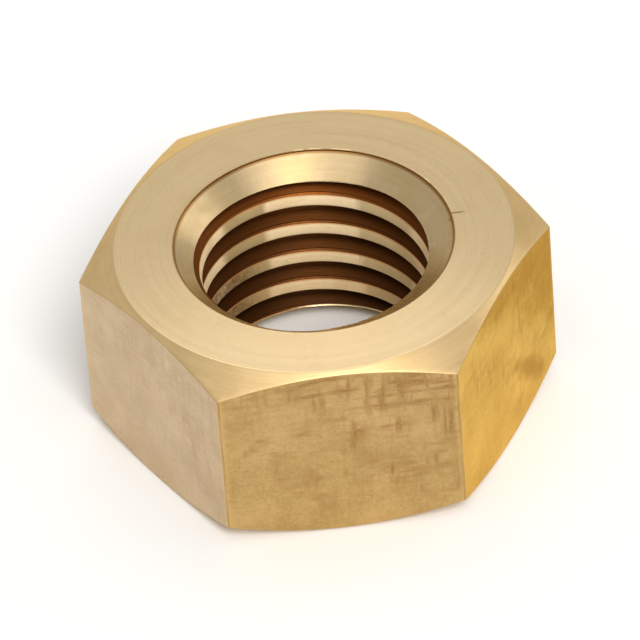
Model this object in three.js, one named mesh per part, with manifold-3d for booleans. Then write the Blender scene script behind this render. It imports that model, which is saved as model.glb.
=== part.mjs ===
// Hex nut, M14 x 2, solid brass: a single piece machined from hexagon bar.
//
// Frame: millimetres, +Z up along the thread axis, origin at the centre of the
// lower bearing face. The corners of the hexagon lie on +X and -X, so two of the
// spanner flats face +Y and -Y.
//
// The nut has no insert, washer or other piece. Everything on it is cut from the
// one bar: the six flats, a 28 degree chamfer at both ends, a countersink at both
// ends of the bore and a right-hand 60 degree thread between them.

import * as THREE from 'three';
import { mergeVertices } from 'three/addons/utils/BufferGeometryUtils.js';
import Module from 'manifold-3d';

// ---- driving dimensions (mm, degrees) -------------------------------------

const ACROSS_FLATS = 22.0;          // spanner size
const HEIGHT = 11.0;                // bearing face to bearing face
const FACE_DIAMETER = 21.46;        // flat bearing face inside the chamfer
const CHAMFER_ANGLE = 28.0;         // of the corner chamfer, from the bearing face

const THREAD_MAJOR = 14.0;          // root diameter of the internal thread
const THREAD_MINOR = 12.2;          // crest diameter, within the 6H limits
const PITCH = 2.0;
const FLANK_HALF_ANGLE = 30.0;      // 60 degree included thread form
const THREAD_START = 0.132;         // height of a crest's middle over +X
const THREAD_STEPS = 48;            // facets per turn

const SINK_DIAMETER = 15.05;        // countersink where it meets the bearing face
const SINK_ANGLE = 110.0;           // included angle of the countersink

const ROUND_STEPS = 96;             // facets of the chamfer and countersink cones

// ---- derived dimensions ----------------------------------------------------

const rad = THREE.MathUtils.degToRad;
const CORNER_RADIUS = ACROSS_FLATS / Math.sqrt(3);
const FACE_RADIUS = FACE_DIAMETER / 2;
const SINK_RADIUS = SINK_DIAMETER / 2;
const MINOR_RADIUS = THREAD_MINOR / 2;
const MAJOR_RADIUS = THREAD_MAJOR / 2;
// Axial run of one flank, and the flats left on the crest and at the root.
const FLANK_RUN = (MAJOR_RADIUS - MINOR_RADIUS) * Math.tan(rad(FLANK_HALF_ANGLE));
const ROOT_FLAT = PITCH / 8;
const CREST_FLAT = PITCH - ROOT_FLAT - 2 * FLANK_RUN;

// ---- solids ----------------------------------------------------------------

const wasm = await Module();
wasm.setup();

function solidFromGeometry(geometry) {
  const bare = geometry.clone();
  bare.deleteAttribute('normal');
  bare.deleteAttribute('uv');
  const merged = mergeVertices(bare, 1e-5);
  const mesh = new wasm.Mesh({
    numProp: 3,
    vertProperties: new Float32Array(merged.attributes.position.array),
    triVerts: new Uint32Array(merged.index.array),
  });
  return new wasm.Manifold(mesh);
}

function geometryFromSolid(solid) {
  const mesh = solid.getMesh();
  const geometry = new THREE.BufferGeometry();
  const positions = new Float32Array(mesh.numVert * 3);
  for (let i = 0; i < mesh.numVert; i++) {
    for (let k = 0; k < 3; k++) {
      positions[3 * i + k] = mesh.vertProperties[mesh.numProp * i + k];
    }
  }
  geometry.setAttribute('position', new THREE.BufferAttribute(positions, 3));
  geometry.setIndex(new THREE.BufferAttribute(new Uint32Array(mesh.triVerts), 1));
  geometry.computeVertexNormals();
  return geometry;
}

// A turned solid about +Z from [radius, height] pairs that start and end on the axis.
function turned(points, steps) {
  const profile = points.map(([r, z]) => new THREE.Vector2(r, z));
  const geometry = new THREE.LatheGeometry(profile, steps);
  geometry.rotateX(Math.PI / 2);
  return solidFromGeometry(geometry);
}

// Hexagon bar, cut to length.
function hexagonBar() {
  const outline = new THREE.Shape();
  for (let k = 0; k < 6; k++) {
    const a = rad(60 * k);
    const x = CORNER_RADIUS * Math.cos(a);
    const y = CORNER_RADIUS * Math.sin(a);
    if (k === 0) outline.moveTo(x, y);
    else outline.lineTo(x, y);
  }
  outline.closePath();
  const geometry = new THREE.ExtrudeGeometry(outline, { depth: HEIGHT, bevelEnabled: false });
  return solidFromGeometry(geometry);
}

// The envelope that both ends are turned to: flat faces inside a shallow cone.
function chamferEnvelope() {
  const reach = CORNER_RADIUS + 1.5;
  const drop = (reach - FACE_RADIUS) * Math.tan(rad(CHAMFER_ANGLE));
  return turned([
    [0, 0],
    [FACE_RADIUS, 0],
    [reach, drop],
    [reach, HEIGHT - drop],
    [FACE_RADIUS, HEIGHT],
    [0, HEIGHT],
  ], ROUND_STEPS);
}

// The solid that a countersinking tool removes at one end.
function countersink(atTop) {
  const slope = Math.tan(rad(SINK_ANGLE / 2));
  const depth = SINK_RADIUS / slope;
  const over = 1.0;
  const points = [
    [0, -depth],
    [SINK_RADIUS + over * slope, over],
    [0, over],
  ];
  const placed = atTop
    ? points.map(([r, z]) => [r, HEIGHT + z])
    : points.map(([r, z]) => [r, -z]).reverse();
  return turned(placed, ROUND_STEPS);
}

// The solid that drilling and tapping remove: one closed body bounded by the
// helical thread surface. Row j of the strip lies at angle 360 j / THREAD_STEPS,
// raised by the pitch once a turn, and its last profile point is the first
// profile point of the row one whole turn further on.
function tapCutter() {
  const half = PITCH / 2;
  const profile = [
    [MINOR_RADIUS, -CREST_FLAT / 2],
    [MINOR_RADIUS, CREST_FLAT / 2],
    [MAJOR_RADIUS, CREST_FLAT / 2 + FLANK_RUN],
    [MAJOR_RADIUS, CREST_FLAT / 2 + FLANK_RUN + ROOT_FLAT],
  ];
  const Q = profile.length;
  const S = THREAD_STEPS;
  const startTurn = -Math.ceil((THREAD_START + half) / PITCH) - 2;
  const turns = Math.ceil(HEIGHT / PITCH) + 4;
  const rows = turns * S;

  const positions = [];
  const index = [];
  // Profile points 0 .. Q-1 of rows 0 .. rows + S hold every vertex of the strip.
  const id = (j, q) => (q < Q ? j * Q + q : (j + S) * Q);
  for (let j = 0; j <= rows + S; j++) {
    const a = (2 * Math.PI * j) / S;
    const rise = THREAD_START + startTurn * PITCH + (PITCH * j) / S;
    for (let q = 0; q < Q; q++) {
      const [r, z] = profile[q];
      positions.push(r * Math.cos(a), r * Math.sin(a), rise + z);
    }
  }
  for (let j = 0; j < rows; j++) {
    for (let q = 0; q < Q; q++) {
      const a = id(j, q);
      const b = id(j + 1, q);
      const c = id(j + 1, q + 1);
      const d = id(j, q + 1);
      index.push(a, b, c, a, c, d);
    }
  }
  // Ends: a fan from a point on the axis to the strip's first and last edge.
  const lower = [];
  for (let j = 0; j <= S; j++) lower.push(id(j, 0));
  for (let q = Q - 1; q >= 1; q--) lower.push(id(0, q));
  const upper = [];
  for (let j = rows; j <= rows + S; j++) upper.push(id(j, 0));
  for (let q = Q - 1; q >= 1; q--) upper.push(id(rows, q));

  const bottom = positions.length / 3;
  positions.push(0, 0, THREAD_START + startTurn * PITCH + half);
  const top = positions.length / 3;
  positions.push(0, 0, THREAD_START + startTurn * PITCH + (PITCH * rows) / S + half);
  for (let i = 0; i < lower.length; i++) {
    const next = lower[(i + 1) % lower.length];
    index.push(bottom, next, lower[i]);
  }
  for (let i = 0; i < upper.length; i++) {
    const next = upper[(i + 1) % upper.length];
    index.push(top, upper[i], next);
  }

  // Points of the last turn that belong to no face are dropped.
  const used = new Map();
  const kept = [];
  const packed = index.map((v) => {
    if (!used.has(v)) {
      used.set(v, used.size);
      kept.push(positions[3 * v], positions[3 * v + 1], positions[3 * v + 2]);
    }
    return used.get(v);
  });
  const geometry = new THREE.BufferGeometry();
  geometry.setAttribute('position', new THREE.BufferAttribute(new Float32Array(kept), 3));
  geometry.setIndex(packed);
  return solidFromGeometry(geometry);
}

const nutBody = hexagonBar()
  .intersect(chamferEnvelope())
  .subtract(tapCutter())
  .subtract(countersink(true))
  .subtract(countersink(false));

// ---- scene graph -----------------------------------------------------------

const nut = new THREE.Group();

const brass = new THREE.MeshStandardMaterial({
  name: 'brass',
  color: new THREE.Color(0.80, 0.62, 0.34),
  roughness: 0.34,
  metalness: 1.0,
});

const body = new THREE.Mesh(geometryFromSolid(nutBody), brass);
body.name = 'hex_nut_body';
nut.add(body);

export default nut;
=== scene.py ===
# Looks for the M14 brass hex nut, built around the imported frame.
# Lengths below are in millimetres; meshes are turned into metres at the end.

import math

import bpy
import numpy as np
from mathutils import Matrix, Vector


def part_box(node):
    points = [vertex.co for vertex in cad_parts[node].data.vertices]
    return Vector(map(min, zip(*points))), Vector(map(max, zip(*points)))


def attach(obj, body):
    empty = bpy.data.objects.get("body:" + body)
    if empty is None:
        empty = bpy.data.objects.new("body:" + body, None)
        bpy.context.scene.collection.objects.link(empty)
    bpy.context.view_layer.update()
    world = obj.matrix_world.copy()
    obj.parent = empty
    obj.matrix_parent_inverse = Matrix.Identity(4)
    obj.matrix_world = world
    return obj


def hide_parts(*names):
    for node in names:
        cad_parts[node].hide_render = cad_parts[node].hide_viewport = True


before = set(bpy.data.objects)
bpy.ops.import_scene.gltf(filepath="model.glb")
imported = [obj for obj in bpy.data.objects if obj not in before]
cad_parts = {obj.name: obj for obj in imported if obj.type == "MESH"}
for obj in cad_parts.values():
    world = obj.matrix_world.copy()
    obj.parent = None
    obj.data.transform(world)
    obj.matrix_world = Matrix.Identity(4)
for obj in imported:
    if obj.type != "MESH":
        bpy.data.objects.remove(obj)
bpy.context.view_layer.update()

NODE = "hex_nut_body"
node_lo, node_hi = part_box(NODE)

MM = 1000.0
AF = (node_hi.y - node_lo.y) * MM          # across flats
HEIGHT = (node_hi.z - node_lo.z) * MM
HALF = AF / 2.0
FACE_R = 10.73                             # flat bearing face
CHAMFER = math.radians(28.0)
MINOR_R = 6.1
MAJOR_R = 7.0
PITCH = 2.0
THREAD_START = 0.132
SINK_R = 7.525
SINK_DEPTH = 1.03                          # where the cone reaches the crest circle
SINK_WALL = 0.10                           # small upright step under the rim
ROLLED_EDGE = 0.36                         # how far the last crest's thin edge hangs into the groove


# ---------------------------------------------------------------- helpers

def smooth(a, b, x):
    t = np.clip((x - a) / (b - a), 0.0, 1.0)
    return t * t * (3.0 - 2.0 * t)


class Ripple:
    """Smooth fixed noise: a sum of waves with seeded directions and phases."""

    def __init__(self, seed, waves, low, high, dims):
        rng = np.random.RandomState(seed)
        self.k = rng.normal(size=(waves, dims))
        self.k /= np.linalg.norm(self.k, axis=1)[:, None]
        self.k *= rng.uniform(low, high, size=(waves, 1))
        self.p = rng.uniform(0, 2 * math.pi, size=waves)
        self.n = math.sqrt(2.0 / waves)

    def __call__(self, *coords):
        x = np.stack([np.asarray(c, float) * np.ones_like(np.asarray(coords[0], float)) for c in coords], -1)
        return np.sin(x @ self.k.T + self.p).sum(-1) * self.n * 0.5


def mesh_object(name, verts, faces):
    me = bpy.data.meshes.new(name)
    me.from_pydata([tuple(v) for v in verts], [], [tuple(f) for f in faces])
    me.validate()
    me.update()
    ob = bpy.data.objects.new(name, me)
    bpy.context.scene.collection.objects.link(ob)
    return ob


def grid_faces(rows, cols, base=0, wrap=True):
    """Quads of a grid of rows by cols points, wrapped round the columns."""
    out = []
    last = cols if wrap else cols - 1
    for j in range(rows - 1):
        a = base + j * cols
        b = a + cols
        for i in range(last):
            n = (i + 1) % cols
            out.append((a + i, b + i, b + n, a + n))
    return out


# ---------------------------------------------------------------- the blank
# Hexagon bar, faced and chamfered at both ends, as one closed grid: each column
# is an outline point and each row a place on the profile from the upper face,
# over the chamfer and down the flat to the lower face.

FLAT_STEPS = 40
ARC_STEPS = 6
wear_edge = Ripple(11, 9, 0.5, 2.2, 2)
wear_face = Ripple(12, 12, 0.25, 0.9, 3)


def outline(radius):
    """x, y of the outline's points; radius is the corner rounding for each of the 6 corners."""
    xs, ys = [], []
    for k in range(6):
        a = math.radians(60 * k)
        r = radius[k]
        d = (HALF - r) / math.cos(math.radians(30))
        cx, cy = d * math.cos(a), d * math.sin(a)
        for s in range(ARC_STEPS + 1):
            t = a + math.radians(-30 + 60.0 * s / ARC_STEPS)
            xs.append(cx + r * math.cos(t))
            ys.append(cy + r * math.sin(t))
        b = math.radians(60 * (k + 1))
        r2 = radius[(k + 1) % 6]
        d2 = (HALF - r2) / math.cos(math.radians(30))
        n = math.radians(60 * k + 30)
        x0, y0 = cx + r * math.cos(n), cy + r * math.sin(n)
        x1, y1 = d2 * math.cos(b) + r2 * math.cos(n), d2 * math.sin(b) + r2 * math.sin(n)
        for s in range(1, FLAT_STEPS):
            f = s / FLAT_STEPS
            f = 0.5 - 0.5 * math.cos(math.pi * f) * (0.35) - 0.5 * (1 - 2 * f) * 0.65
            xs.append(x0 + (x1 - x0) * f)
            ys.append(y0 + (y1 - y0) * f)
    return np.array(xs), np.array(ys)


def corner_radii(z):
    """Corner rounding at a height: a little more where the bar's edge has been knocked."""
    out = []
    for k in range(6):
        n = float(wear_edge(np.array(z), np.array(3.7 * k)))
        out.append(0.17 + 0.05 * n)
    return out


def build_blank():
    tan_c = math.tan(CHAMFER)
    base_x, base_y = outline([0.17] * 6)
    theta = np.arctan2(base_y, base_x)
    base_r = np.hypot(base_x, base_y)
    cols = len(theta)
    ct, st = np.cos(theta), np.sin(theta)

    # upper half of the profile: rings on the face, the chamfer, the edge
    ring_r = np.concatenate([[6.75, 7.25], np.linspace(7.45, FACE_R - 0.07, 31)])
    turn = Ripple(21, 14, 3.0, 9.0, 1)
    turn_slow = Ripple(22, 8, 0.8, 2.0, 3)

    def face_dip(r):
        ring = 0.5 + 0.5 * turn(r)
        wob = turn_slow(ct * 2.0, st * 2.0, np.full_like(ct, r) * 1.1)
        fade = float(smooth(FACE_R, FACE_R - 0.5, r))
        return (0.0022 * ring + 0.0016 * (0.5 + 0.5 * wob)) * fade

    rows = []   # each: x, y, depth below the face (>= 0)
    for r in ring_r:
        rows.append((r * ct, r * st, np.full(cols, 0.0) + face_dip(r)))
    # small rounding between face and chamfer
    rho = 0.22
    tl = rho * math.tan(CHAMFER / 2)
    for s in range(4):
        a = CHAMFER * s / 3
        r = FACE_R - tl + rho * math.sin(a)
        d = rho * (1 - math.cos(a))
        rows.append((r * ct, r * st, np.full(cols, d)))
    # cone, then a small rounding into the flat
    rho2 = 0.075 + 0.02 * wear_edge(theta * 5.0, np.full(cols, 1.3))
    turn_angle = math.pi / 2 - CHAMFER
    tl2 = rho2 * math.tan(turn_angle / 2)
    r_edge = base_r
    d_edge = (r_edge - FACE_R) * tan_c
    r_a = FACE_R + tl * math.cos(CHAMFER)
    r_b = r_edge - tl2 * math.cos(CHAMFER)
    for s in range(1, 7):
        r = r_a + (r_b - r_a) * s / 6
        rows.append((r * ct, r * st, (r - FACE_R) * tan_c))
    cr = r_b - rho2 * math.sin(CHAMFER)
    cd = (r_b - FACE_R) * tan_c + rho2 * math.cos(CHAMFER)
    for s in range(1, 5):
        a = CHAMFER + turn_angle * s / 4
        rows.append(((cr + rho2 * np.sin(a)) * ct, (cr + rho2 * np.sin(a)) * st, cd - rho2 * np.cos(a)))
    d_end = rows[-1][2]

    X, Y, Z = [], [], []
    for x, y, d in rows:
        X.append(x), Y.append(y), Z.append(HEIGHT - d)
    VERT = 44
    for s in range(1, VERT):
        z = (HEIGHT - d_end) + (d_end - (HEIGHT - d_end)) * s / VERT
        ox, oy = outline(corner_radii(HEIGHT * (1 - s / VERT)))
        w = min(1.0, 4.0 * min(s, VERT - s) / VERT)
        x = base_x + (ox - base_x) * w
        y = base_y + (oy - base_y) * w
        # drawn bar: the flats are very slightly wavy, never proud of the spanner size
        k = np.floor(np.degrees(theta) % 360 / 60.0)
        n = np.radians(60 * k + 30)
        t = -np.sin(n) * base_x + np.cos(n) * base_y
        dip = 0.004 * (0.5 + 0.5 * wear_face(t, z * 0.25, k * 2.3)) * smooth(6.25, 5.4, np.abs(t))
        X.append(x - dip * np.cos(n))
        Y.append(y - dip * np.sin(n))
        Z.append(z)
    for x, y, d in reversed(rows):
        X.append(x), Y.append(y), Z.append(d)
    V = np.stack([np.array(X), np.array(Y), np.array(Z)], -1)
    nrows = V.shape[0]
    faces = grid_faces(nrows, cols)
    verts = V.reshape(-1, 3).tolist()
    top = len(verts)
    verts.append((0, 0, HEIGHT))
    bottom = len(verts)
    verts.append((0, 0, 0))
    for i in range(cols):
        n = (i + 1) % cols
        faces.append((top, i, n))
        b = (nrows - 1) * cols
        faces.append((bottom, b + n, b + i))
    return mesh_object("blank", verts, faces)


# ---------------------------------------------------------------- the tap
# One closed body bounded by the helical thread surface, which the blank loses.

def thread_profile():
    """Heights from a crest's middle and radii over one pitch, rounded as a worn tapped thread is."""
    run = (MAJOR_R - MINOR_R) * math.tan(math.radians(30))
    root = PITCH / 8
    crest = PITCH - root - 2 * run
    fine = np.linspace(-PITCH, 2 * PITCH, 6001)

    def sharp(z):
        u = np.abs((z + PITCH / 2) % PITCH - PITCH / 2)
        r = np.clip(MINOR_R + (u - crest / 2) / math.tan(math.radians(30)), MINOR_R, MAJOR_R)
        # tapping throws up a slight lip at both edges of the crest
        lip = 0.008 * np.clip(1 - (u / (crest / 2 - 0.06)) ** 2, 0, 1)
        return r + lip
    raw = sharp(fine)
    step = fine[1] - fine[0]
    width = 0.042
    k = np.exp(-0.5 * (np.arange(-int(4 * width / step), int(4 * width / step) + 1) * step / width) ** 2)
    k /= k.sum()
    soft = np.convolve(raw, k, mode="same")
    # the crest's upper edge is rounded off more than its lower one
    u = (fine + PITCH / 2) % PITCH - PITCH / 2
    worn = smooth(0.02, crest / 2 + 0.10, u) * smooth(crest / 2 + 0.42, crest / 2 + 0.10, u)
    soft = soft + 0.055 * worn + 0.09 * smooth(-crest / 2, crest / 2, u) * (np.abs(u) < crest / 2 + 0.05)
    c, f = crest / 2, crest / 2 + run
    zs = [-c + 0.09, -c + 0.16, -0.11, 0.0, 0.06, 0.12, 0.18, c - 0.12, c - 0.08, c - 0.045, c, c + 0.045, c + 0.1,
          c + 0.22, c + 0.34, f - 0.09, f - 0.03, f + 0.03, f + root / 2, f + root - 0.03, f + root + 0.03,
          f + root + 0.09, PITCH - c - 0.34, PITCH - c - 0.22, PITCH - c - 0.1, PITCH - c - 0.045, PITCH - c, PITCH - c + 0.045]
    zs = sorted(zs)
    out = [zs[0]]
    for z in zs[1:]:
        if z - out[-1] > 0.02:
            out.append(z)
    r = np.interp(out, fine, soft)
    return np.array(out), r


def build_tap():
    zs, rs = thread_profile()
    Q = len(zs)
    S = 216
    start_turn = -3
    rows = (int(math.ceil(HEIGHT / PITCH)) + 6) * S
    chatter = Ripple(31, 10, 0.6, 2.5, 3)
    j = np.arange(rows + S + 1)
    a = 2 * math.pi * j / S
    rise = THREAD_START + start_turn * PITCH + PITCH * j / S
    Zg = rise[:, None] + zs[None, :]

    # Where the countersink has cut through a crest, its thin edge is rolled down into the groove.
    def rolled(middle):
        return ROLLED_EDGE * smooth(HEIGHT - 0.75, HEIGHT - 0.36, middle)
    root_mid = PITCH / 2
    own = 1.0 - smooth(PITCH / 8, root_mid, zs)[None, :]
    above = smooth(root_mid, PITCH - PITCH / 8 - 0.2, zs)[None, :]
    Zg = Zg - own * rolled(rise)[:, None] - above * rolled(rise + PITCH)[:, None]
    A = np.broadcast_to(a[:, None], Zg.shape)
    R = np.broadcast_to(rs[None, :], Zg.shape).copy()
    # slight unevenness of the tapped surface
    R += 0.006 * chatter(np.cos(A) * 6, np.sin(A) * 6, Zg * 1.4) * smooth(0, 1, 1.0)
    V = np.stack([R * np.cos(A), R * np.sin(A), Zg], -1).reshape(-1, 3)

    def vid(jj, q):
        return jj * Q + q if q < Q else (jj + S) * Q

    faces = []
    for jj in range(rows):
        for q in range(Q):
            faces.append((vid(jj, q), vid(jj + 1, q), vid(jj + 1, q + 1), vid(jj, q + 1)))
    lower = [vid(jj, 0) for jj in range(S + 1)] + [vid(0, q) for q in range(Q - 1, 0, -1)]
    upper = [vid(jj, 0) for jj in range(rows, rows + S + 1)] + [vid(rows, q) for q in range(Q - 1, 0, -1)]
    V = V.tolist()
    bottom = len(V)
    V.append((0, 0, THREAD_START + start_turn * PITCH + PITCH / 2))
    top = len(V)
    V.append((0, 0, THREAD_START + start_turn * PITCH + PITCH * rows / S + PITCH / 2))
    for i in range(len(lower)):
        faces.append((bottom, lower[(i + 1) % len(lower)], lower[i]))
    for i in range(len(upper)):
        faces.append((top, upper[i], upper[(i + 1) % len(upper)]))
    used = sorted({v for f in faces for v in f})
    index = {v: n for n, v in enumerate(used)}
    return mesh_object("tap", [V[v] for v in used], [tuple(index[v] for v in f) for f in faces])


def build_countersink(at_top):
    """The countersinking tool: a cone with a short upright step under its rim."""
    slope = (SINK_R - MINOR_R) / (SINK_DEPTH - SINK_WALL)
    wob = Ripple(41 + at_top, 8, 0.5, 2.5, 2)
    prof = [(SINK_R + 0.03 + 1.0, -1.0), (SINK_R + 0.03, 0.0), (SINK_R, 0.02), (SINK_R - 0.004, SINK_WALL)]
    d_end = SINK_WALL + SINK_R / slope
    for s in range(1, 13):
        f = s / 13.0 * 0.36
        d = SINK_WALL + (d_end - SINK_WALL) * f
        prof.append((SINK_R - 0.004 - (d - SINK_WALL) * slope, d))
    steps = 240
    a = 2 * math.pi * np.arange(steps) / steps
    verts, n = [], 0
    for r, d in prof:
        rr = r + (0.006 * wob(np.cos(a) * 2, np.sin(a) * 2) if d >= 0 else 0.0)
        z = HEIGHT - d if at_top else d
        verts += np.stack([rr * np.cos(a), rr * np.sin(a), np.full(steps, z)], -1).tolist()
    faces = grid_faces(len(prof), steps)
    lid = len(verts)
    verts.append((0, 0, HEIGHT + 1.0 if at_top else -1.0))
    tip = len(verts)
    verts.append((0, 0, HEIGHT - d_end if at_top else d_end))
    last = (len(prof) - 1) * steps
    for i in range(steps):
        m = (i + 1) % steps
        faces.append((lid, i, m))
        faces.append((tip, last + m, last + i))
    if not at_top:
        faces = [f[::-1] for f in faces]
    return mesh_object("countersink", verts, faces)


def cut(target, tool):
    mod = target.modifiers.new("cut", "BOOLEAN")
    mod.operation = "DIFFERENCE"
    mod.solver = "MANIFOLD"
    mod.object = tool
    bpy.context.view_layer.update()
    dg = bpy.context.evaluated_depsgraph_get()
    me = bpy.data.meshes.new_from_object(target.evaluated_get(dg))
    target.modifiers.clear()
    old = target.data
    target.data = me
    bpy.data.meshes.remove(old)
    bpy.data.objects.remove(tool)


nut = build_blank()
cut(nut, build_tap())
cut(nut, build_countersink(True))
cut(nut, build_countersink(False))
nut.name = "brass_hex_nut"
nut.data.name = "brass_hex_nut"
print("nut:", len(nut.data.vertices), "vertices", len(nut.data.polygons), "faces")


# ---------------------------------------------------------------- tidy, sort into regions, lay out the bake map

import bmesh

bm = bmesh.new()
bm.from_mesh(nut.data)
bmesh.ops.dissolve_degenerate(bm, dist=0.0015, edges=bm.edges)
bmesh.ops.remove_doubles(bm, verts=bm.verts, dist=0.0015)
bmesh.ops.dissolve_degenerate(bm, dist=0.0015, edges=bm.edges)
bmesh.ops.triangulate(bm, faces=[f for f in bm.faces if len(f.verts) > 4])
bm.normal_update()

R_FACE, R_FLAT, R_SINK, R_THREAD, R_CHAMFER, R_CREST = 0, 1, 2, 3, 4, 5
slope = (SINK_R - MINOR_R) / (SINK_DEPTH - SINK_WALL)
uv = bm.loops.layers.uv.new("OFBake")
PAD = 0.004
FLAT_W, FLAT_H = 0.236, 0.202
slots_uv = [(PAD + 0.243 * c, 0.37) for c in range(4)] + [(0.757, 0.58), (0.757, 0.788)]
DISC = 0.0143
for f in bm.faces:
    c = f.calc_center_median()
    r = math.hypot(c.x, c.y)
    inward = -(f.normal.x * c.x + f.normal.y * c.y) / max(r, 1e-9)
    depth = min(c.z, HEIGHT - c.z)
    if r < SINK_R + 0.045 and inward > 0.05:
        on_cone = abs(r - (SINK_R - (depth - SINK_WALL) * slope)) < 0.03 or (depth < SINK_WALL + 0.02)
        if on_cone and depth < SINK_DEPTH + 0.05:
            f.material_index = R_SINK
        else:
            # 6.24 falls between two rings of the profile, by more than the surface's unevenness
            f.material_index = R_CREST if r < MINOR_R + 0.14 else R_THREAD
        a0 = math.atan2(c.y, c.x)
        for l in f.loops:
            a = math.atan2(l.vert.co.y, l.vert.co.x)
            if a - a0 > math.pi:
                a -= 2 * math.pi
            if a - a0 < -math.pi:
                a += 2 * math.pi
            l[uv].uv = (PAD + 0.992 * (a + math.pi + 0.03) / (2 * math.pi + 0.06), PAD + 0.352 * l.vert.co.z / HEIGHT)
    elif abs(f.normal.z) > 0.35:
        f.material_index = R_CHAMFER if r > FACE_R and abs(f.normal.z) < 0.97 else R_FACE
        ox, oy = (0.187, 0.775) if f.normal.z > 0 else (0.565, 0.775)
        m = 1 if f.normal.z > 0 else -1
        for l in f.loops:
            l[uv].uv = (ox + m * l.vert.co.x * DISC, oy + l.vert.co.y * DISC)
    else:
        f.material_index = R_FLAT
        k = int(math.degrees(math.atan2(c.y, c.x)) % 360 // 60)
        n = math.radians(60 * k + 30)
        ox, oy = slots_uv[k]
        for l in f.loops:
            t = -math.sin(n) * l.vert.co.x + math.cos(n) * l.vert.co.y
            l[uv].uv = (ox + FLAT_W * (0.5 + t / 13.0), oy + FLAT_H * l.vert.co.z / HEIGHT)
bm.to_mesh(nut.data)
bm.free()
nut.data.transform(Matrix.Scale(1.0 / MM, 4))
nut.data.shade_smooth()
nut.data.set_sharp_from_angle(angle=math.radians(34))
nut.data.update()


# ---------------------------------------------------------------- materials

class Nodes:
    """Short calls for building one material's node tree."""

    def __init__(self, name):
        self.mat = bpy.data.materials.new(name)
        self.mat.use_nodes = True
        self.tree = self.mat.node_tree
        self.bsdf = self.tree.nodes["Principled BSDF"]

    def node(self, kind, **props):
        n = self.tree.nodes.new(kind)
        for k, v in props.items():
            setattr(n, k, v)
        return n

    def link(self, a, b):
        self.tree.links.new(a, b)

    def put(self, socket, value):
        if isinstance(value, bpy.types.NodeSocket):
            self.link(value, socket)
        else:
            socket.default_value = value

    def math(self, op, *values, clamp=False):
        n = self.node("ShaderNodeMath", operation=op, use_clamp=clamp)
        for i, v in enumerate(values):
            self.put(n.inputs[i], v)
        return n.outputs[0]

    def combine(self, x, y, z):
        n = self.node("ShaderNodeCombineXYZ")
        for i, v in enumerate((x, y, z)):
            self.put(n.inputs[i], v)
        return n.outputs[0]

    def noise(self, vector, scale=1.0, detail=3.0, rough=0.55, distortion=0.0):
        n = self.node("ShaderNodeTexNoise", noise_dimensions="3D")
        self.put(n.inputs["Vector"], vector)
        self.put(n.inputs["Scale"], scale)
        self.put(n.inputs["Detail"], detail)
        self.put(n.inputs["Roughness"], rough)
        self.put(n.inputs["Distortion"], distortion)
        return n.outputs["Fac"]

    def ramp(self, value, a, b, lo=0.0, hi=1.0, kind="SMOOTHSTEP"):
        n = self.node("ShaderNodeMapRange", interpolation_type=kind)
        n.clamp = True
        for i, v in enumerate((value, a, b, lo, hi)):
            self.put(n.inputs[i], v)
        return n.outputs[0]

    def mix(self, fac, a, b, blend="MIX"):
        n = self.node("ShaderNodeMix", data_type="RGBA", blend_type=blend)
        self.put(n.inputs[0], fac)
        self.put(n.inputs[6], a)
        self.put(n.inputs[7], b)
        return n.outputs[2]

    def bump(self, height, distance, strength=1.0, normal=None):
        n = self.node("ShaderNodeBump")
        n.inputs["Strength"].default_value = strength
        n.inputs["Distance"].default_value = distance
        self.link(height, n.inputs["Height"])
        if normal is not None:
            self.link(normal, n.inputs["Normal"])
        return n.outputs[0]

    def lean(self, normal, x, y, z):
        """The normal tipped by a small vector, as the slopes of one-sided tool marks tip it."""
        out = self.combine(x, y, z)
        add = self.node("ShaderNodeVectorMath", operation="ADD")
        self.link(normal, add.inputs[0])
        self.link(out, add.inputs[1])
        unit = self.node("ShaderNodeVectorMath", operation="NORMALIZE")
        self.link(add.outputs[0], unit.inputs[0])
        return unit.outputs[0]

    def place(self):
        """x, y, z in millimetres, the radius and the unit direction from the axis."""
        tc = self.node("ShaderNodeTexCoord")
        sc = self.node("ShaderNodeVectorMath", operation="SCALE")
        self.link(tc.outputs["Object"], sc.inputs[0])
        sc.inputs["Scale"].default_value = MM
        sp = self.node("ShaderNodeSeparateXYZ")
        self.link(sc.outputs[0], sp.inputs[0])
        x, y, z = sp.outputs
        r = self.math("SQRT", self.math("ADD", self.math("MULTIPLY", x, x), self.math("MULTIPLY", y, y)))
        rr = self.math("MAXIMUM", r, 0.001)
        return sc.outputs[0], x, y, z, r, self.math("DIVIDE", x, rr), self.math("DIVIDE", y, rr)


def rgb(r, g, b):
    return (r, g, b, 1.0)


def finish_bsdf(m, color, rough, normal, aniso=0.0, rotation=0.0, metallic=1.0):
    m.put(m.bsdf.inputs["Base Color"], color)
    m.put(m.bsdf.inputs["Roughness"], rough)
    m.bsdf.inputs["Metallic"].default_value = metallic
    # brass keeps its colour at a grazing angle
    m.bsdf.inputs["Specular Tint"].default_value = rgb(1.0, 0.84, 0.55)
    m.bsdf.inputs["Anisotropic"].default_value = aniso
    m.bsdf.inputs["Anisotropic Rotation"].default_value = rotation
    if aniso:
        t = m.node("ShaderNodeTangent", direction_type="RADIAL", axis="Z")
        m.link(t.outputs[0], m.bsdf.inputs["Tangent"])
    if normal is not None:
        m.link(normal, m.bsdf.inputs["Normal"])
    return m.mat


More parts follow.
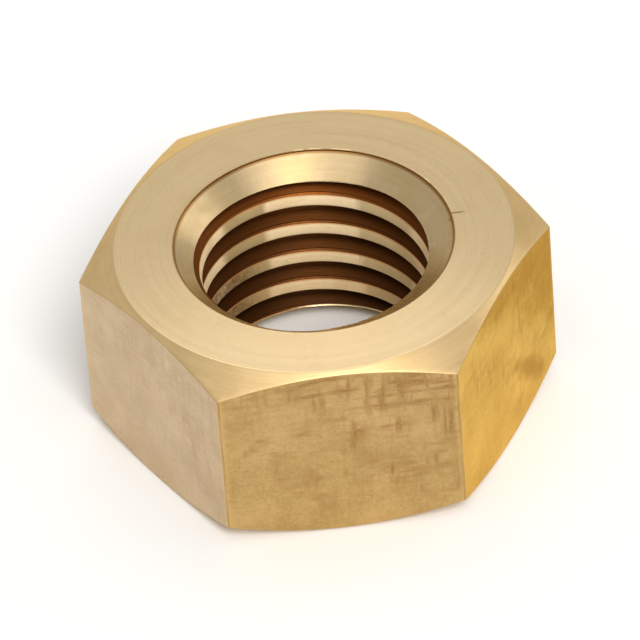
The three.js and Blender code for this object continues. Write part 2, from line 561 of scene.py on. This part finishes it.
def turned_face():
    m = Nodes("brass_turned_face")
    p, x, y, z, r, cx, cy = m.place()
    rings = m.noise(m.combine(m.math("MULTIPLY", cx, 0.9), m.math("MULTIPLY", cy, 0.9), m.math("MULTIPLY", r, 6.0)), 1.0, 4.0, 0.65)
    broad = m.noise(m.combine(m.math("MULTIPLY", cx, 2.2), m.math("MULTIPLY", cy, 2.2), m.math("MULTIPLY", r, 1.3)), 1.0, 2.0, 0.5)
    cloud = m.noise(p, 0.35, 4.0, 0.6)
    grain = m.noise(p, 5.0, 3.0, 0.6)
    color = m.mix(m.ramp(rings, 0.25, 0.75), rgb(0.855, 0.64, 0.355), rgb(0.895, 0.685, 0.395))
    color = m.mix(m.ramp(cloud, 0.45, 0.72, 0.0, 0.3), color, rgb(0.80, 0.58, 0.30))
    color = m.mix(m.ramp(grain, 0.52, 0.72, 0.0, 0.30), color, rgb(0.93, 0.74, 0.45))
    color = m.mix(m.ramp(m.noise(p, 2.3, 5.0, 0.75), 0.56, 0.72, 0.0, 0.35), color, rgb(0.70, 0.50, 0.24))
    # residue and painted shade along the countersink's rim: a dark ring
    color = m.mix(m.ramp(r, SINK_R + 0.11, SINK_R + 0.01, 0.0, 0.55), color, rgb(0.50, 0.27, 0.085))
    # one short nick runs out from the countersink's rim on the upper face
    nick = m.math("MULTIPLY", m.ramp(m.math("ABSOLUTE", m.math("SUBTRACT", y, 0.86)), 0.12, 0.03),
                  m.math("MULTIPLY", m.ramp(x, 7.40, 7.50), m.ramp(x, 8.35, 8.00)))
    nick = m.math("MULTIPLY", nick, m.ramp(z, 5.0, 6.0))
    color = m.mix(m.math("MULTIPLY", nick, 0.65), color, rgb(0.26, 0.14, 0.045))
    rough = m.ramp(rings, 0.25, 0.75, 0.26, 0.31, "LINEAR")
    height = m.math("ADD", m.math("MULTIPLY", rings, 0.25), m.math("ADD", m.math("MULTIPLY", broad, 0.4), m.math("MULTIPLY", grain, 0.8)))
    height = m.math("SUBTRACT", height, m.math("MULTIPLY", nick, 0.8))
    normal = m.lean(m.bump(height, 0.0000030), m.math("MULTIPLY", cx, 0.046), m.math("MULTIPLY", cy, 0.046), 0.0)
    return finish_bsdf(m, color, rough, normal, 0.35, 0.25)


def chamfer():
    m = Nodes("brass_chamfer")
    p, x, y, z, r, cx, cy = m.place()
    rings = m.noise(m.combine(m.math("MULTIPLY", cx, 0.9), m.math("MULTIPLY", cy, 0.9), m.math("MULTIPLY", r, 7.0)), 1.0, 4.0, 0.65)
    cloud = m.noise(p, 0.5, 3.0, 0.6)
    color = m.mix(m.ramp(rings, 0.25, 0.75), rgb(0.82, 0.58, 0.28), rgb(0.88, 0.635, 0.325))
    color = m.mix(m.ramp(cloud, 0.42, 0.7, 0.0, 0.4), color, rgb(0.70, 0.48, 0.20))
    g = m.node("ShaderNodeNewGeometry")
    sp = m.node("ShaderNodeSeparateXYZ")
    m.link(g.outputs["True Normal"], sp.inputs[0])
    # the edge, where it rounds over into the flat, is painted darker as shade that tones down its highlight, and is
    # rougher
    rounding_shade_and_rough = m.ramp(m.math("ABSOLUTE", sp.outputs[2]), 0.87, 0.74)
    color = m.mix(m.math("MULTIPLY", rounding_shade_and_rough, 0.8), color, rgb(0.54, 0.37, 0.165))
    rough = m.math("ADD", m.ramp(rings, 0.25, 0.75, 0.33, 0.40, "LINEAR"), m.math("MULTIPLY", rounding_shade_and_rough, 0.24))
    normal = m.bump(rings, 0.0000025)
    return finish_bsdf(m, color, rough, normal, 0.4, 0.25)


def drawn_flat():
    m = Nodes("brass_drawn_flat")
    p, x, y, z, r, cx, cy = m.place()
    g = m.node("ShaderNodeNewGeometry")
    sp = m.node("ShaderNodeSeparateXYZ")
    m.link(g.outputs["True Normal"], sp.inputs[0])
    nx, ny = sp.outputs[0], sp.outputs[1]
    t = m.math("SUBTRACT", m.math("MULTIPLY", nx, y), m.math("MULTIPLY", ny, x))
    which = m.math("ADD", m.math("MULTIPLY", nx, 7.3), m.math("MULTIPLY", ny, 3.1))

    def grain(along, up, scale=1.0, detail=3.0, rough=0.6, shift=0.0):
        return m.noise(m.combine(m.math("MULTIPLY", t, along), m.math("MULTIPLY", z, up), m.math("ADD", which, shift)),
                       scale, detail, rough)
    drawn = grain(2.4, 0.36, detail=2.0)
    cross = grain(0.42, 2.1, detail=2.0, shift=11.0)
    gather = grain(0.42, 0.42, detail=2.0, shift=57.0)
    fine = grain(5.0, 5.0, detail=4.0, rough=0.7, shift=71.0)
    cloud = grain(0.34, 0.34, shift=23.0)
    mottle = grain(1.5, 1.5, detail=4.0, rough=0.7, shift=31.0)
    pits = grain(6.5, 6.5, detail=2.0, shift=43.0)

    # Each flat gets its own tone: painted reflections of the surroundings, pale and pinkish on one flat, gold on
    # another, tan between.
    def facing(deg):
        c, s_ = math.cos(math.radians(deg)), math.sin(math.radians(deg))
        return m.ramp(m.math("ADD", m.math("MULTIPLY", nx, c), m.math("MULTIPLY", ny, s_)), 0.90, 0.995)
    dark, light = rgb(0.46, 0.305, 0.115), rgb(0.61, 0.425, 0.185)
    for deg, low, high in ((210, rgb(0.53, 0.425, 0.312), rgb(0.645, 0.525, 0.400)),
                           (30, rgb(0.475, 0.305, 0.092), rgb(0.64, 0.44, 0.152)),
                           (90, rgb(0.49, 0.33, 0.130), rgb(0.635, 0.45, 0.200)),
                           (330, rgb(0.61, 0.385, 0.098), rgb(0.77, 0.525, 0.150)),
                           (150, rgb(0.50, 0.35, 0.165), rgb(0.64, 0.47, 0.240))):
        near = facing(deg)
        dark = m.mix(near, dark, low)
        light = m.mix(near, light, high)
    tone = m.math("ADD", m.math("MULTIPLY", fine, 0.35), m.math("ADD", m.math("MULTIPLY", mottle, 0.25), m.math("MULTIPLY", cloud, 0.40)))
    color = m.mix(m.ramp(tone, 0.38, 0.62), dark, light)
    # one flat is browner towards its upper right, and darker in a soft patch below
    patch = m.math("ADD", m.math("ADD", m.math("MULTIPLY", t, 0.085), m.math("MULTIPLY", z, 0.105)),
                   m.math("ADD", m.math("MULTIPLY", cloud, 1.1), m.math("MULTIPLY", mottle, 0.35)))
    brown = m.ramp(patch, 1.46, 1.88, 0.0, 0.90)
    color = m.mix(m.math("MULTIPLY", brown, facing(330)), color, rgb(0.45, 0.25, 0.036))
    dark_patch = m.math("SQRT", m.math("ADD", m.math("POWER", m.math("MULTIPLY", m.math("SUBTRACT", t, 2.8), 0.36), 2.0),
                                  m.math("POWER", m.math("MULTIPLY", m.math("ADD", m.math("SUBTRACT", z, 5.05), m.math("MULTIPLY", t, 0.77)), 0.95), 2.0)))
    dark_patch = m.ramp(m.math("ADD", dark_patch, m.math("MULTIPLY", mottle, 1.1)), 1.75, 0.72, 0.0, 0.66)
    color = m.mix(m.math("MULTIPLY", dark_patch, facing(330)), color, rgb(0.36, 0.175, 0.030))
    # tarnish in short marks along and across the bar, gathered in patches, and in pits
    lines = m.math("MAXIMUM", m.ramp(drawn, 0.43, 0.68), m.ramp(cross, 0.43, 0.69))
    where = m.math("ADD", gather, m.math("ADD", m.math("MULTIPLY", z, 0.028), m.math("MULTIPLY", t, 0.012)))
    mark = m.math("MULTIPLY", m.math("MULTIPLY", lines, m.ramp(where, 0.55, 0.84)), m.ramp(fine, 0.34, 0.66, 0.45, 1.0))
    clean = m.math("MAXIMUM", m.math("MAXIMUM", facing(210), m.math("MULTIPLY", facing(330), 0.6)), m.math("MULTIPLY", m.math("MAXIMUM", facing(30), facing(150)), 0.6))
    color = m.mix(m.math("MULTIPLY", mark, m.ramp(clean, 0.0, 1.0, 0.80, 0.26, "LINEAR")), color, rgb(0.285, 0.120, 0.034))
    thin = m.math("MAXIMUM", grain(9.0, 0.5, shift=83.0), grain(0.5, 8.0, shift=97.0))
    color = m.mix(m.ramp(thin, 0.50, 0.74, 0.0, 0.20), color, rgb(0.36, 0.20, 0.055))
    color = m.mix(m.ramp(fine, 0.54, 0.74, 0.0, 0.28), color, rgb(0.42, 0.25, 0.080))
    color = m.mix(m.math("MULTIPLY", m.ramp(pits, 0.64, 0.76), 0.45), color, rgb(0.26, 0.13, 0.04))
    # handling has kept the edges bright
    edge = m.ramp(m.math("ABSOLUTE", m.math("SUBTRACT", z, HEIGHT / 2)), 5.0, 5.5, 0.0, 0.10)
    color = m.mix(edge, color, rgb(0.84, 0.62, 0.30))
    color = m.mix(m.ramp(m.math("ABSOLUTE", t), 6.0, 6.32, 0.0, 0.40), color, rgb(0.78, 0.49, 0.19))
    rough = m.math("ADD", m.ramp(mottle, 0.3, 0.7, 0.35, 0.47, "LINEAR"), m.ramp(m.math("ABSOLUTE", sp.outputs[2]), 0.03, 0.20, 0.0, 0.18))
    height = m.math("ADD", m.math("MULTIPLY", drawn, 0.30), m.math("ADD", m.math("MULTIPLY", cross, 0.25), m.math("MULTIPLY", mottle, 0.3)))
    normal = m.bump(height, 0.0000035)
    return finish_bsdf(m, color, rough, normal, 0.15, 0.0)


def countersunk():
    m = Nodes("brass_countersink")
    p, x, y, z, r, cx, cy = m.place()
    rings = m.noise(m.combine(m.math("MULTIPLY", cx, 1.2), m.math("MULTIPLY", cy, 1.2), m.math("MULTIPLY", r, 5.0)), 1.0, 3.0, 0.6)
    cloud = m.noise(p, 0.55, 3.0, 0.55)
    fleck = m.noise(p, 3.2, 3.0, 0.6)
    color = m.mix(m.ramp(rings, 0.3, 0.7), rgb(0.62, 0.46, 0.25), rgb(0.67, 0.50, 0.285))
    color = m.mix(m.ramp(cloud, 0.42, 0.66, 0.0, 0.6), color, rgb(0.60, 0.445, 0.19))
    color = m.mix(m.ramp(m.noise(p, 0.9, 3.0, 0.6), 0.50, 0.68, 0.0, 0.38), color, rgb(0.53, 0.41, 0.235))
    color = m.mix(m.ramp(m.noise(m.combine(m.math("ADD", x, 40.0), y, z), 0.8, 2.0, 0.5), 0.52, 0.72, 0.0, 0.35), color, rgb(0.80, 0.62, 0.37))
    color = m.mix(m.ramp(fleck, 0.66, 0.78, 0.0, 0.4), color, rgb(0.55, 0.36, 0.13))
    # residue and painted shade along the rim: a dark band just under it, where the small step is
    line = m.ramp(r, SINK_R - 0.16, SINK_R - 0.04, 0.0, 0.85)
    color = m.mix(line, color, rgb(0.32, 0.150, 0.036))
    spot = m.math("SQRT", m.math("ADD", m.math("POWER", m.math("SUBTRACT", x, 7.44), 2.0), m.math("POWER", m.math("SUBTRACT", y, 0.52), 2.0)))
    color = m.mix(m.math("MULTIPLY", m.ramp(spot, 0.20, 0.06, 0.0, 0.6), m.ramp(z, 5.0, 6.0)), color, rgb(0.30, 0.17, 0.06))
    rough = m.ramp(cloud, 0.35, 0.7, 0.25, 0.32, "LINEAR")
    height = m.math("ADD", m.math("MULTIPLY", rings, 0.4), m.math("ADD", m.math("MULTIPLY", cloud, 3.0), m.math("MULTIPLY", fleck, 0.5)))
    normal = m.bump(height, 0.000004)
    return finish_bsdf(m, color, rough, normal, 0.15, 0.25)


def thread_groove():
    """Flanks and roots, painted dark brown: partly old cutting residue, partly painted shade inside the grooves."""
    m = Nodes("brass_thread_groove")
    p, x, y, z, r, cx, cy = m.place()
    grit = m.noise(p, 4.5, 4.0, 0.65)
    sweep = m.noise(m.combine(m.math("MULTIPLY", cx, 3.0), m.math("MULTIPLY", cy, 3.0), m.math("MULTIPLY", r, 9.0)), 1.0, 3.0, 0.6)
    # painted shade: darker further into the roots
    rw = m.math("ADD", r, m.math("MULTIPLY", m.math("SUBTRACT", grit, 0.5), 0.10))
    color = m.mix(m.ramp(rw, MINOR_R + 0.12, MINOR_R + 0.50), rgb(0.165, 0.049, 0.007), rgb(0.125, 0.034, 0.005))
    color = m.mix(m.ramp(rw, MINOR_R + 0.50, MINOR_R + 0.85), color, rgb(0.120, 0.033, 0.005))
    color = m.mix(m.ramp(sweep, 0.55, 0.75, 0.0, 0.35), color, rgb(0.18, 0.064, 0.012))
    # darker towards the lower end
    color = m.mix(m.ramp(z, HEIGHT - 1.6, HEIGHT - 4.4, 0.0, 0.75), color, rgb(0.055, 0.017, 0.003))
    color = m.mix(m.ramp(z, 5.0, 1.0, 0.0, 0.6), color, rgb(0.030, 0.010, 0.002))
    depth = m.math("MINIMUM", z, m.math("SUBTRACT", HEIGHT, z))
    # the countersink cut it away, so it fades out where the groove meets the cone
    cone = m.math("SUBTRACT", SINK_R, m.math("MULTIPLY", m.math("SUBTRACT", depth, SINK_WALL), slope))
    off_cone = m.ramp(m.math("ADD", m.math("SUBTRACT", r, cone), m.math("MULTIPLY", m.math("SUBTRACT", grit, 0.5), 0.06)), 0.01, 0.20)
    color = m.mix(off_cone, rgb(0.76, 0.57, 0.32), color)
    rough = m.ramp(grit, 0.3, 0.7, 0.38, 0.52, "LINEAR")
    normal = m.bump(m.math("ADD", grit, sweep), 0.000005)
    return finish_bsdf(m, color, rough, normal, metallic=0.85)


def thread_crest():
    """The drilled bore left between the grooves: pale, with painted reflections, torn here and there."""
    m = Nodes("brass_thread_crest")
    p, x, y, z, r, cx, cy = m.place()
    patch = m.noise(m.combine(m.math("MULTIPLY", cx, 3.2), m.math("MULTIPLY", cy, 3.2), m.math("MULTIPLY", z, 0.5)), 1.0, 2.0, 0.5)
    # painted reflection: the crests are paler in some sectors of the bore and darker between them, as the curved wall
    # reflects its surroundings
    across = m.math("ADD", m.math("ABSOLUTE", m.math("SUBTRACT", cx, 0.06)), m.math("MULTIPLY", m.math("SUBTRACT", patch, 0.5), 0.16))
    reflection_dark_sectors = m.math("MULTIPLY", m.ramp(across, 0.37, 0.45), m.ramp(across, 0.86, 0.76))
    grit = m.noise(p, 4.0, 4.0, 0.65)
    tear = m.noise(m.combine(m.math("MULTIPLY", cx, 16.0), m.math("MULTIPLY", cy, 16.0), m.math("MULTIPLY", z, 1.6)), 1.0, 3.0, 0.6)
    color = m.mix(m.math("MULTIPLY", reflection_dark_sectors, m.ramp(cx, 0.5, -0.5, 0.72, 1.0)), rgb(1.0, 0.80, 0.50), rgb(0.50, 0.375, 0.185))
    color = m.mix(m.ramp(patch, 0.50, 0.36, 0.0, 0.30), color, rgb(0.74, 0.52, 0.27))
    color = m.mix(m.ramp(grit, 0.58, 0.76, 0.0, 0.45), color, rgb(0.62, 0.40, 0.18))
    color = m.mix(m.ramp(tear, 0.62, 0.76, 0.0, 0.45), color, rgb(0.44, 0.24, 0.08))
    # browner towards the lower end, like the grooves
    color = m.mix(m.ramp(z, 8.5, 2.0, 0.0, 0.40, "LINEAR"), color, rgb(0.60, 0.36, 0.13))
    # darker in patches towards the lower left
    dark_patch = m.math("MULTIPLY", m.ramp(m.math("ADD", z, m.math("MULTIPLY", patch, 1.5)), 8.2, 5.6), m.ramp(cx, -0.32, -0.70))
    color = m.mix(m.math("MULTIPLY", dark_patch, m.ramp(grit, 0.30, 0.60, 0.45, 0.85)), color, rgb(0.15, 0.075, 0.022))
    color = m.mix(m.ramp(r, MINOR_R + 0.10, MINOR_R + 0.135), color, rgb(0.52, 0.22, 0.07))
    # tapping has turned the upper side of each crest up a little
    normal = m.lean(m.bump(m.math("ADD", grit, tear), 0.000022), 0.0, 0.0, 0.15)
    return finish_bsdf(m, color, m.ramp(grit, 0.3, 0.7, 0.42, 0.54, "LINEAR"), normal, metallic=0.40)


nut_materials = (turned_face, drawn_flat, countersunk, thread_groove, chamfer, thread_crest)

# The boolean leaves an empty slot, and clearing the slots also puts every face in slot 0,
# so the faces' slots are kept and set again.
slot_of = np.empty(len(nut.data.polygons), dtype=np.int32)
nut.data.polygons.foreach_get("material_index", slot_of)
nut.data.materials.clear()
for make in nut_materials:
    nut.data.materials.append(make())
nut.data.polygons.foreach_set("material_index", slot_of)
nut.data.update()
worn = {nut.data.materials[p.material_index].name for p in nut.data.polygons}
if len(nut.data.materials) != 6 or len(worn) != 6:
    raise RuntimeError("the nut's regions and materials don't match: %s" % sorted(worn))

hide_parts(NODE)
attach(nut, "root")


# ---------------------------------------------------------------- floor, light, camera

floor_mesh = bpy.data.meshes.new("floor")
w = 6.0
floor_mesh.from_pydata([(-w, -w, 0), (w, -w, 0), (w, w, 0), (-w, w, 0)], [], [(0, 1, 2, 3)])
floor = bpy.data.objects.new("floor", floor_mesh)
bpy.context.scene.collection.objects.link(floor)
floor.location = (0, 0, -0.00001)
pale = bpy.data.materials.new("pale_floor")
pale.use_nodes = True
pale.node_tree.nodes["Principled BSDF"].inputs["Base Color"].default_value = rgb(0.81, 0.81, 0.805)
pale.node_tree.nodes["Principled BSDF"].inputs["Roughness"].default_value = 0.9
pale.node_tree.nodes["Principled BSDF"].inputs["Specular IOR Level"].default_value = 0.1
floor_mesh.materials.append(pale)


LIGHT_SCALE = 40.0


def area(name, place, target, size, radiance, color=(1, 1, 1), size_y=None):
    """A soft rectangle of a given radiance; scaling place and size together keeps what it gives the nut."""
    place = Vector(place) * LIGHT_SCALE
    size_y = (size_y or size) * LIGHT_SCALE
    size = size * LIGHT_SCALE
    data = bpy.data.lights.new(name, "AREA")
    data.energy = radiance * math.pi * size * (size_y or size)
    data.color = color
    data.shape = "RECTANGLE"
    data.size = size
    data.size_y = size_y or size
    ob = bpy.data.objects.new(name, data)
    bpy.context.scene.collection.objects.link(ob)
    ob.location = place
    ob.rotation_mode = "QUATERNION"
    ob.rotation_quaternion = (Vector(target) - Vector(place)).to_track_quat("-Z", "Y")
    return ob


centre = (0, 0, 0.0055)
# Pale studio all round: a key in front and above, and broad softboxes overhead, behind and at the right.
area("key", (0.075, -0.355, 0.405), centre, 0.24, 12.8, (1.0, 0.98, 0.95))
area("top_softbox", (0.0, -0.13, 0.48), centre, 0.52, 0.66, (1.0, 0.985, 0.96), size_y=0.31)
area("rear_softbox", (0.0, 0.25, 0.43), centre, 0.24, 1.09, (1.0, 0.99, 0.97), size_y=0.22)
area("side_softbox", (0.42, 0.15, 0.28), centre, 0.34, 0.82, (1.0, 0.97, 0.92), size_y=0.26)
world = bpy.data.worlds.new("studio")
bpy.context.scene.world = world
world.use_nodes = True
world.node_tree.nodes["Background"].inputs["Color"].default_value = rgb(1.0, 0.995, 0.985)
world.node_tree.nodes["Background"].inputs["Strength"].default_value = 0.57

bpy.context.scene.view_settings.view_transform = "Standard"

# The viewing direction, distance and tilt are those of the photograph's camera at
# this nut; the lens is longer, so that the nut fills the frame.
cam_data = bpy.data.cameras.new("camera")
cam = bpy.data.objects.new("camera", cam_data)
bpy.context.scene.collection.objects.link(cam)
cam_data.sensor_width = 36.0
cam_data.lens = 414.0
cam_data.clip_start = 0.01
cam_data.clip_end = 20.0
VIEW_AZ, VIEW_EL, ROLL, DISTANCE = -3.277, 40.816, -4.566, 0.39647
a, e = math.radians(VIEW_AZ), math.radians(VIEW_EL)
back = Vector((math.sin(a) * math.cos(e), -math.cos(a) * math.cos(e), math.sin(e)))
aim = Vector((0, 0, 0.0053))
cam.location = aim + back * DISTANCE
level = (-back).to_track_quat("-Z", "Y").to_matrix()
cam.rotation_mode = "QUATERNION"
cam.rotation_quaternion = (level @ Matrix.Rotation(math.radians(ROLL), 3, "Z")).to_quaternion()
bpy.context.scene.camera = cam
